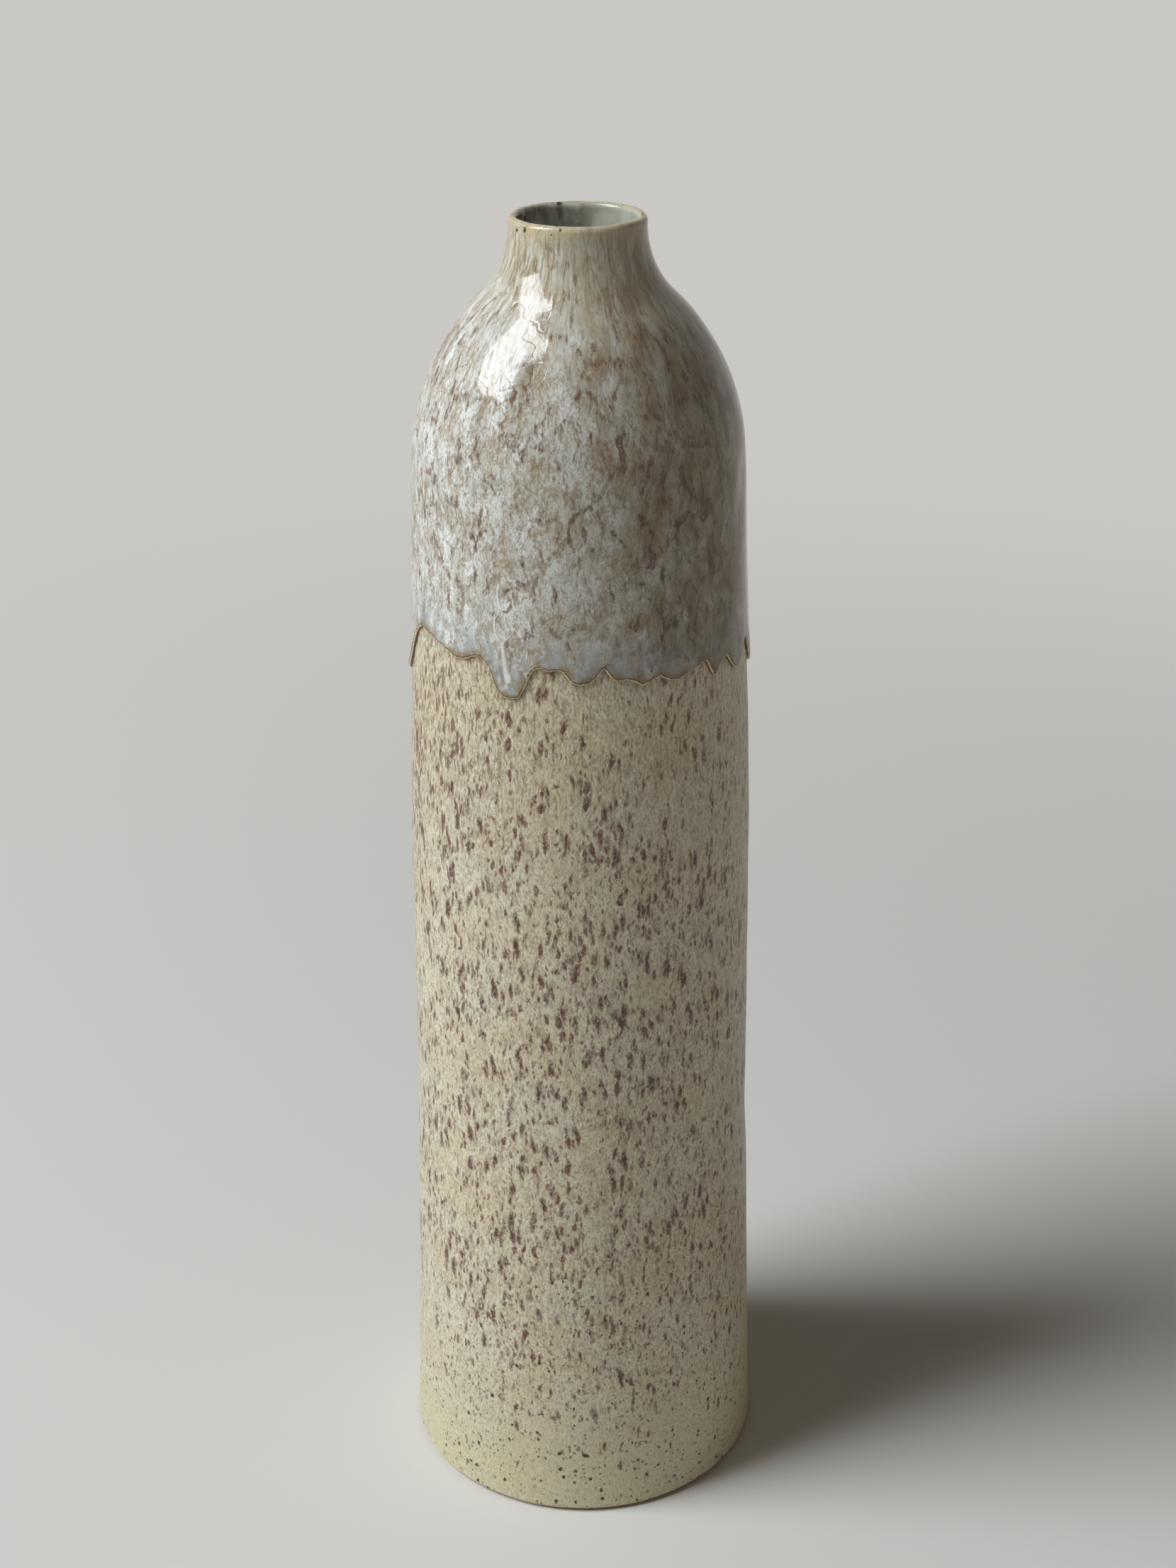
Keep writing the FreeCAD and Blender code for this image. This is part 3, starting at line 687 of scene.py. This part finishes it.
def cream_material():
    """Satin cream glaze with upright purple-brown flecks and iron specks near the foot."""
    n = Nodes("cream_glaze", 0.40)

    # Pale ground, warmer and plainer at the foot
    flow = n.warped(n.flow, 0.10, 3.0)
    cloud = n.noise(flow, 0.05, 3.0, 0.55)
    mottle = n.noise(n.upright(flow, 1.5), 0.30, 3.0, 0.6)
    n.base = n.mix(n.ramp(cloud, 0.36, 0.64), colour(208, 196, 163), colour(211, 204, 181))
    n.paint(colour(222, 216, 197), n.ramp(mottle, 0.46, 0.68), 0.45)
    foot = n.ramp(n.plus(n.height, n.times(cloud, 26.0)), 66.0, 22.0)
    n.paint(colour(203, 195, 160), foot, 0.8)

    # Grain in the glaze, and a darker bark just under the drips
    grain = n.noise(n.upright(n.warped(n.flow, 0.5, 1.0), 2.1), 2.1, 3.0, 0.65)
    grain_share = n.plus(n.times(foot, -0.26), 0.66)
    n.paint(colour(146, 125, 105), n.ramp(grain, 0.52, 0.36), grain_share)
    n.paint(colour(234, 226, 204), n.ramp(grain, 0.53, 0.68), grain_share, 0.8)
    body = n.times(n.ramp(n.height, 4.0, 62.0, 0.03, 1.0),
                   n.ramp(n.height, 228.0, 196.0, 0.30, 1.0))
    worn = n.noise(n.upright(flow, 3.0), 0.8, 3.0, 0.6)
    n.paint(colour(158, 142, 120), n.ramp(worn, 0.54, 0.36), body, 0.45)
    under_drips = n.ramp(n.height, 168.0, 212.0)
    bark = n.noise(n.upright(n.warped(n.flow, 0.5, 1.2), 4.2), 1.7, 3.0, 0.65)
    lit_side = n.ramp(n.side, 4.0, -28.0, 0.50, 0.90)
    n.paint(colour(118, 98, 74), n.ramp(bark, 0.53, 0.36), under_drips, lit_side)
    n.paint(colour(186, 170, 132), under_drips, 0.12)

    # Purple-brown flecks of three sizes in clumps, long trails, and strokes at the upper left
    clumps = n.noise(n.upright(flow, 1.4), 0.07, 3.0, 0.6)
    # Fewer flecks towards the far right, part of the painted shading by side
    density = n.times(n.ramp(clumps, 0.38, 0.55, 0.26, 1.0), body,
                      n.ramp(n.side, 16.0, 36.0, 1.0, 0.8))
    tall = n.upright(n.warped(n.warped(flow, 0.45, 1.2), 1.6, 0.35), 2.9)
    broken = n.ramp(grain, 0.70, 0.45, 0.45, 1.0)
    small = n.flecks(tall, 1.0, 0.30, n.times(density, 0.95), 0.22, 3.1, 0.4)
    n.paint(colour(108, 76, 60), small, broken, 0.82)
    middle = n.flecks(tall, 1.40, 0.46, n.times(density, 0.90), 0.55, 7.7, 0.6)
    n.paint(colour(98, 52, 38), middle, broken, 0.96)
    big = n.times(density, n.ramp(n.height, 26.0, 80.0, 0.1, 0.7))
    large = n.flecks(tall, 2.2, 0.70, n.times(big, 1.25), 0.85, 11.9, 0.8)
    n.paint(colour(82, 42, 30), large, broken, 0.97)
    runs = n.upright(n.warped(n.flow, 0.3, 1.4), 3.4)
    left = n.times(n.ramp(n.side, -20.0, -33.0), n.ramp(n.height, 160.0, 196.0))
    trails = n.flecks(n.upright(n.warped(flow, 0.4, 1.2), 7.0), 2.2, 0.40, n.times(density, 0.30),
                      0.5, 2.9, 0.6)
    n.paint(colour(104, 66, 50), trails, broken, 0.80)
    strokes = n.flecks(runs, 1.25, 0.42, n.times(left, 0.80), 0.30, 6.3, 0.4)
    n.paint(colour(112, 84, 70), strokes, 0.85)

    # Iron specks and hairs towards the foot
    near_foot = n.ramp(n.height, 100.0, 26.0)
    tilted = n.warped(n.warped(n.upright(n.place, 1.25), 1.6, 0.7), 3.0, 0.25)
    tiny = n.flecks(tilted, 1.3, 0.27, n.times(near_foot, 0.90), 0.14, 9.1, 0.6)
    n.paint(colour(104, 84, 60), tiny, 0.8)
    hairs = n.noise(n.warped(n.upright(n.place, 2.2), 0.6, 1.6), 0.75, 1.0, 0.5)
    hair = n.times(n.middle_line(hairs, 0.016, 0.004),
                   n.ramp(n.noise(n.place, 0.42, 1.0, 0.5), 0.60, 0.68), near_foot)
    n.paint(colour(84, 64, 44), hair, 0.8)
    specks = n.flecks(tilted, 2.3, 0.39, n.times(near_foot, 0.80), 0.12, 5.3, 1.1)
    n.paint(colour(50, 38, 26), specks, 0.95)

    # A stain along the drip line, then the pits of the flecks
    rim = n.ramp(n.mark("below_edge"), 2.6, 0.0)
    n.paint(colour(124, 96, 64), rim, n.ramp(bark, 0.60, 0.38, 0.25, 1.0), 0.7)
    pits = n.plus(n.times(small, -0.25), n.times(middle, -0.6), n.times(large, -1.0),
                  n.times(strokes, -0.5), n.times(specks, -0.4))
    relief = n.plus(n.times(grain, n.plus(n.times(foot, -0.9), 1.7)), n.times(worn, 0.9), pits)
    return n.finish(relief, 0.000065)


def drip_material():
    """Gloss grey-white glaze in fine upright streaks, with rust dashes, veins and a tan edge, with
    painted light on the left and painted shade on the right.
    """
    n = Nodes("drip_glaze", 0.05, 0.40)

    # Grey-white ground with tan clouds
    flow = n.warped(n.flow, 0.12, 4.0)
    cloud = n.noise(flow, 0.075, 3.0, 0.55)
    patch = n.noise(n.upright(flow, 1.7), 0.24, 3.0, 0.55)
    n.base = n.mix(n.ramp(patch, 0.36, 0.64), colour(182, 179, 166), colour(212, 214, 211))
    tan = n.ramp(cloud, 0.44, 0.62)
    n.paint(colour(170, 156, 126), tan, 0.55)

    # The noises and places that the layers over it share
    high = n.ramp(n.height, 296.0, 318.0)
    calm = n.ramp(n.height, 288.0, 308.0, 1.0, 0.45)
    streak = n.noise(n.upright(n.warped(flow, 0.5, 1.6), 2.7), 0.9, 3.0, 0.62, 0.25)
    broad = n.noise(n.upright(n.warped(flow, 0.2, 3.0), 2.4), 0.26, 3.0, 0.6)
    fine = n.noise(n.upright(n.flow, 1.9), 2.7, 2.0, 0.65)
    # 1 towards the right side, where shade is painted: it lays on the ochre, thins the pool and
    # strengthens the long lines there
    right = n.ramp(n.plus(n.side, n.times(cloud, 34.0), n.times(n.height, 0.12)), 50.0, 80.0)

    # Curdled cells, some pale and some dull; painted light makes them paler to the left
    petals = n.upright(n.warped(n.warped(flow, 0.9, 1.3), 0.3, 3.0), 1.9)
    inputs = {"Vector": petals, "Scale": 0.42, "Randomness": 1.0}
    cells = n.add("ShaderNodeTexVoronoi", inputs, feature="F1")
    dice = n.add("ShaderNodeSeparateColor", {0: cells.outputs["Color"]})
    pale = n.ramp(dice.outputs["Red"], 0.55, 0.90)
    dull = n.ramp(dice.outputs["Green"], 0.60, 0.95)
    # Painted light: a whiter layer and more pale cells on the left side
    left = n.ramp(n.side, 4.0, -26.0, 0.22, 1.0)
    n.paint(colour(222, 224, 221), n.ramp(n.side, 0.0, -34.0, 0.0, 0.42))
    n.paint(colour(230, 233, 231), pale, left, 0.75)
    n.paint(colour(160, 146, 118), dull, 0.42)

    # Upright streaks, broad to fine; painted light whitens them on the left, painted shade dulls
    # and browns the right
    smear = n.ramp(broad, 0.50, 0.66)
    n.paint(colour(150, 130, 98), smear, 0.50)
    n.paint(colour(128, 110, 82), n.ramp(streak, 0.50, 0.34), calm, 0.64)
    # Painted light: the pale streaks are stronger on the left side
    painted_light_left = n.ramp(n.side, -24.0, 6.0, 1.0, 0.55)
    n.paint(colour(226, 227, 222), n.ramp(streak, 0.52, 0.66), calm, painted_light_left, 0.46)
    n.paint(colour(122, 108, 84), n.ramp(fine, 0.54, 0.36), calm, 0.42)
    n.paint(colour(236, 235, 229), n.ramp(fine, 0.52, 0.68), calm, painted_light_left, 0.30)
    # Painted shade: a duller layer from the middle to the right
    n.paint(colour(146, 136, 116), n.ramp(n.side, -20.0, 14.0), 0.26)
    # Ochre brown on the right: partly the glaze's own brown, partly painted shade
    ochre_and_painted_shade = n.times(right, n.ramp(broad, 0.34, 0.58, 0.45, 1.0))
    n.paint(colour(114, 95, 53), ochre_and_painted_shade, 0.82)

    # Brown lines: round the cells, as veins, and long down the wall
    gate = n.ramp(n.noise(flow, 0.15, 2.0, 0.6), 0.40, 0.58)
    curds = n.network(petals, 0.42, 0.17)
    n.paint(colour(128, 98, 70), curds, gate, 0.55)
    other = n.ramp(n.noise(flow, 0.20, 2.0, 0.6), 0.40, 0.54)
    cracks = n.warped(n.warped(flow, 0.35, 3.4), 1.2, 0.9)
    vein = n.times(n.network(n.upright(cracks, 1.3), 0.085, 0.90), other)
    vein = n.times(vein, n.ramp(streak, 0.62, 0.40, 0.25, 1.0))
    n.paint(colour(98, 70, 46), vein, 0.88)
    long_lines = n.noise(n.upright(n.warped(flow, 0.25, 2.4), 4.2), 0.34, 1.5, 0.5)
    long_line = n.times(n.middle_line(long_lines, 0.030, 0.004), n.plus(n.times(right, 0.8), 0.2),
                        n.ramp(broad, 0.38, 0.50))
    n.paint(colour(84, 60, 36), long_line, 0.80)

    # Rust dashes and dark specks
    clusters = n.ramp(n.noise(flow, 0.085, 2.0, 0.6), 0.40, 0.60, 0.0, 0.10)
    apart = n.moved(n.warped(flow, 1.3, 0.8), (57.0, 13.0, 9.0))
    dashes = n.noise(n.upright(n.warped(apart, 0.5, 1.4), 3.6), 0.55, 2.5, 0.55)
    dash = n.ramp(n.plus(dashes, clusters), 0.64, 0.77)
    n.paint(colour(98, 60, 38), dash, n.ramp(fine, 0.70, 0.40, 0.5, 1.0), 0.88)
    speck = n.flecks(n.flow, 4.2, 0.24, 0.30, 0.10, 8.3, 0.3)
    n.paint(colour(72, 56, 46), speck, 0.8)

    # Grey-blue pool, thinner to the right with the painted shade, amber, tan and a dark line along
    # the edge that is partly painted shadow
    distance = n.mark("above_edge")
    sheets = n.ramp(n.noise(n.upright(flow, 4.0), 0.26, 2.0, 0.5), 0.38, 0.56, 0.10, 1.0)
    pool = n.times(n.ramp(distance, 12.0, 2.5), sheets, n.plus(n.times(right, -0.5), 1.0))
    n.paint(colour(154, 161, 163), pool, 0.66)
    uneven = n.noise(n.place, 0.3, 2.0, 0.5)
    halo = n.times(n.ramp(distance, 3.0, 0.8), n.ramp(uneven, 0.40, 0.60, 0.2, 1.0))
    n.paint(colour(132, 108, 70), halo, 0.8)
    jagged = n.plus(distance, n.times(n.noise(n.place, 1.5, 2.0, 0.6), 0.7), -0.35)
    n.paint(colour(104, 76, 48), n.ramp(jagged, 0.90, 0.66, 0.0, 0.85))
    n.paint(colour(224, 205, 162), n.ramp(jagged, 0.48, 0.34))
    # Dark line at the very edge: a brown contour and painted shadow under the bead
    n.paint(colour(96, 70, 46), n.ramp(distance, 0.23, 0.12, 0.0, 0.92))

    # Pale wrinkles and the fine curls round them
    ridge = n.mark("wrinkle")
    n.paint(colour(150, 130, 102), n.ramp(ridge, 0.01, 0.04, 0.0, 0.40))
    n.paint(colour(232, 235, 234), n.ramp(ridge, 0.04, 0.11, 0.0, 0.74))
    wild = n.ramp(n.noise(flow, 0.05, 2.0, 0.5), 0.54, 0.64, 0.0, 0.8)
    wild = n.times(wild, n.ramp(n.side, 16.0, 2.0), n.ramp(n.height, 290.0, 270.0))
    curled = n.plus(n.near((-16.5, -38.0, 238.0), 0.6, 11.0),
                    n.near((-10.0, -40.0, 268.0), 0.7, 9.0), wild)
    turns = n.noise(n.warped(n.place, 0.3, 2.2), 0.20, 1.5, 0.5)
    worm = n.times(n.middle_line(turns, 0.034), n.maths("MINIMUM", curled, 1.0),
                   n.ramp(n.noise(n.place, 0.45, 1.0, 0.5), 0.44, 0.54))
    n.paint(colour(234, 233, 226), worm, 0.45)

    # Neck, lip and throat
    rills = n.noise(n.upright(n.warped(n.flow, 0.3, 1.5), 5.0), 0.55, 2.0, 0.55)
    n.paint(colour(196, 186, 154), high, 0.30)
    n.paint(colour(128, 98, 64), high, n.ramp(rills, 0.54, 0.66), 0.60)
    lip = n.times(n.ramp(n.height, 318.5, 322.8), n.ramp(uneven, 0.30, 0.60, 0.4, 1.0))
    n.paint(colour(190, 174, 136), lip, 0.65)
    inside = n.ramp(n.radius, 13.9, 13.3)
    n.paint(colour(180, 184, 176), inside, 0.70)
    stained = n.noise(n.upright(n.warped(n.place, 0.3, 1.6), 2.4), 0.24, 2.0, 0.55)
    # Brown stains inside the throat; their growth towards the left is painted shadow inside the lip
    shade = n.times(inside, n.ramp(stained, 0.46, 0.60), n.ramp(n.side, 9.0, -5.0, 0.25, 1.0))
    n.paint(colour(98, 88, 66), shade, 0.70)
    far_left = n.times(n.ramp(n.side, 5.0, -5.0, 0.10, 0.62), n.ramp(n.height, 319.0, 322.6))
    burnt = n.flecks(n.warped(n.place, 0.9, 1.0), 2.4, 0.46, far_left, 0.2, 1.9, 0.9)
    n.paint(colour(44, 32, 24), burnt, 0.92)

    # Hairline folds, which break a reflection, greyed on the upper left as a painted darkening of
    # that reflection, and the relief
    folds = n.noise(n.warped(n.upright(n.place, 1.6), 0.16, 5.0), 0.075, 2.0, 0.55)
    fold = n.times(n.middle_line(folds, 0.010), n.ramp(n.side, 10.0, -8.0),
                   n.ramp(n.height, 222.0, 240.0), n.ramp(uneven, 0.36, 0.48))
    # Painted shade: grey along the fold lines where the window's reflection falls
    n.paint(colour(150, 142, 128), fold, 0.45)
    ripple = n.noise(n.upright(flow, 2.0), 0.4, 2.0, 0.5)
    relief = n.plus(n.times(ripple, 1.2), n.times(fine, 0.25), n.times(vein, -0.7),
                    n.times(curds, gate, -0.25), n.times(worm, 2.6), n.times(fold, -2.4))
    return n.finish(relief, 0.000012)


def liner_material():
    """Gloss pale grey liner glaze with a few brown stains."""
    n = Nodes("liner_glaze", 0.12)
    cloud = n.noise(n.upright(n.place, 2.0), 0.11, 4.0, 0.6, 0.4)
    n.base = n.mix(n.ramp(cloud, 0.38, 0.62), colour(186, 184, 176), colour(206, 203, 194))
    stain = n.noise(n.upright(n.place, 3.0), 0.35, 3.0, 0.6)
    n.paint(colour(122, 96, 72), n.ramp(stain, 0.56, 0.70), 0.55)
    return n.finish(n.noise(n.place, 0.8, 2.0, 0.5), 0.00004)


def clay_material():
    """Bare stoneware, grainy and with throwing rings."""
    n = Nodes("bare_clay", 0.82, 0.3)
    grain = n.noise(n.place, 1.4, 4.0, 0.7)
    n.base = n.mix(grain, colour(150, 122, 94), colour(186, 158, 126))
    specks = n.flecks(n.place, 2.4, 0.35, 0.3, 0.12, 4.4)
    n.paint(colour(84, 60, 42), specks, 0.8)
    rings = n.add("ShaderNodeTexWave", {"Vector": n.place, "Scale": 0.35, "Distortion": 1.2},
                  wave_type="RINGS", rings_direction="Z")
    relief = n.plus(grain, n.times(rings.outputs["Fac"], 0.5))
    return n.finish(relief, 0.00012)


def stage_material(name, shade, far_shade):
    """A matt floor that shows an even pale ground away from the object."""
    n = Nodes(name, 0.9, 0.2)
    n.feed(n.shader.inputs["Base Color"], shade)
    level = n.length(n.place)
    rays = n.add("ShaderNodeLightPath").outputs
    seen = n.maths("MAXIMUM", rays["Is Camera Ray"], rays["Is Glossy Ray"])
    share = n.times(n.ramp(level, 180.0, 900.0), seen)
    ground = n.add("ShaderNodeEmission", {"Color": far_shade})
    both = n.add("ShaderNodeMixShader", {0: share, 1: n.shader.outputs[0], 2: ground.outputs[0]})
    n.feed(n.tree.nodes["Material Output"].inputs["Surface"], both.outputs[0])
    return n.material


# The pieces

def dress(piece, material, node):
    piece.data.materials.append(material)
    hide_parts(node)
    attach(piece, "root")


def paint_node(node, material):
    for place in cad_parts[node].material_slots:
        place.material = material


dress(cream_coat(), cream_material(), "cream_glaze")
dress(drip_coat(), drip_material(), "drip_glaze")
paint_node("liner_glaze", liner_material())
clay = clay_material()
for section in ("base_section", "body_section", "neck_section"):
    paint_node(section, clay)


# Floor, lamps and camera

def flat_square(name, half, height):
    mesh = bpy.data.meshes.new(name)
    mesh.from_pydata([(-half, -half, height), (half, -half, height), (half, half, height),
                      (-half, half, height)], [], [(0, 1, 2, 3)])
    square = bpy.data.objects.new(name, mesh)
    bpy.context.scene.collection.objects.link(square)
    return square


def add_lamp(name, place, target, wide, tall, watts, tint):
    data = bpy.data.lights.new(name, "AREA")
    data.shape = "RECTANGLE"
    data.size = wide
    data.size_y = tall
    data.energy = watts
    data.color = tint
    lamp = bpy.data.objects.new(name, data)
    lamp.location = place
    away = Matrix.Translation(target).translation - lamp.location
    lamp.rotation_euler = away.to_track_quat("-Z", "Y").to_euler()
    bpy.context.scene.collection.objects.link(lamp)


def add_world():
    world = bpy.data.worlds.new("studio")
    bpy.context.scene.world = world
    world.use_nodes = True
    tree = world.node_tree
    tree.nodes.clear()
    seen = tree.nodes.new("ShaderNodeBackground")
    seen.inputs["Color"].default_value = colour(202, 200, 196)
    light = tree.nodes.new("ShaderNodeBackground")
    light.inputs["Color"].default_value = (1.0, 0.90, 0.76, 1.0)
    light.inputs["Strength"].default_value = 0.09
    path = tree.nodes.new("ShaderNodeLightPath")
    pick = tree.nodes.new("ShaderNodeMixShader")
    either = tree.nodes.new("ShaderNodeMath")
    either.operation = "MAXIMUM"
    tree.links.new(path.outputs["Is Camera Ray"], either.inputs[0])
    tree.links.new(path.outputs["Is Glossy Ray"], either.inputs[1])
    tree.links.new(either.outputs[0], pick.inputs[0])
    tree.links.new(light.outputs[0], pick.inputs[1])
    tree.links.new(seen.outputs[0], pick.inputs[2])
    out = tree.nodes.new("ShaderNodeOutputWorld")
    tree.links.new(pick.outputs[0], out.inputs[0])


def add_camera():
    data = bpy.data.cameras.new("camera")
    data.sensor_fit = "HORIZONTAL"
    data.sensor_width = 36.0
    data.lens = FOCAL_PIXELS / IMAGE_WIDTH * data.sensor_width
    data.clip_start = 0.02
    camera = bpy.data.objects.new("camera", data)
    bpy.context.scene.collection.objects.link(camera)
    camera.matrix_world = (Matrix.Translation(CAMERA_PLACE)
                           @ Matrix.Rotation(math.radians(90 - CAMERA_DOWN), 4, "X")
                           @ Matrix.Rotation(math.radians(CAMERA_ROLL), 4, "Z"))
    bpy.context.scene.camera = camera


floor = flat_square("floor", 3.0, 0.0)
floor.data.materials.append(stage_material("floor_paint", colour(212, 210, 206),
                                           colour(202, 200, 196)))
add_world()
add_lamp("window", (-1.81, -0.45, 1.95), (0, 0, 0.25), 1.25, 1.65, 84.0, (0.92, 0.97, 1.0))
add_lamp("bounce", (1.3, -0.9, 0.7), (0, 0, 0.15), 1.2, 1.2, 1.0, (1.0, 0.84, 0.66))
add_camera()
bpy.context.scene.view_settings.view_transform = "Standard"
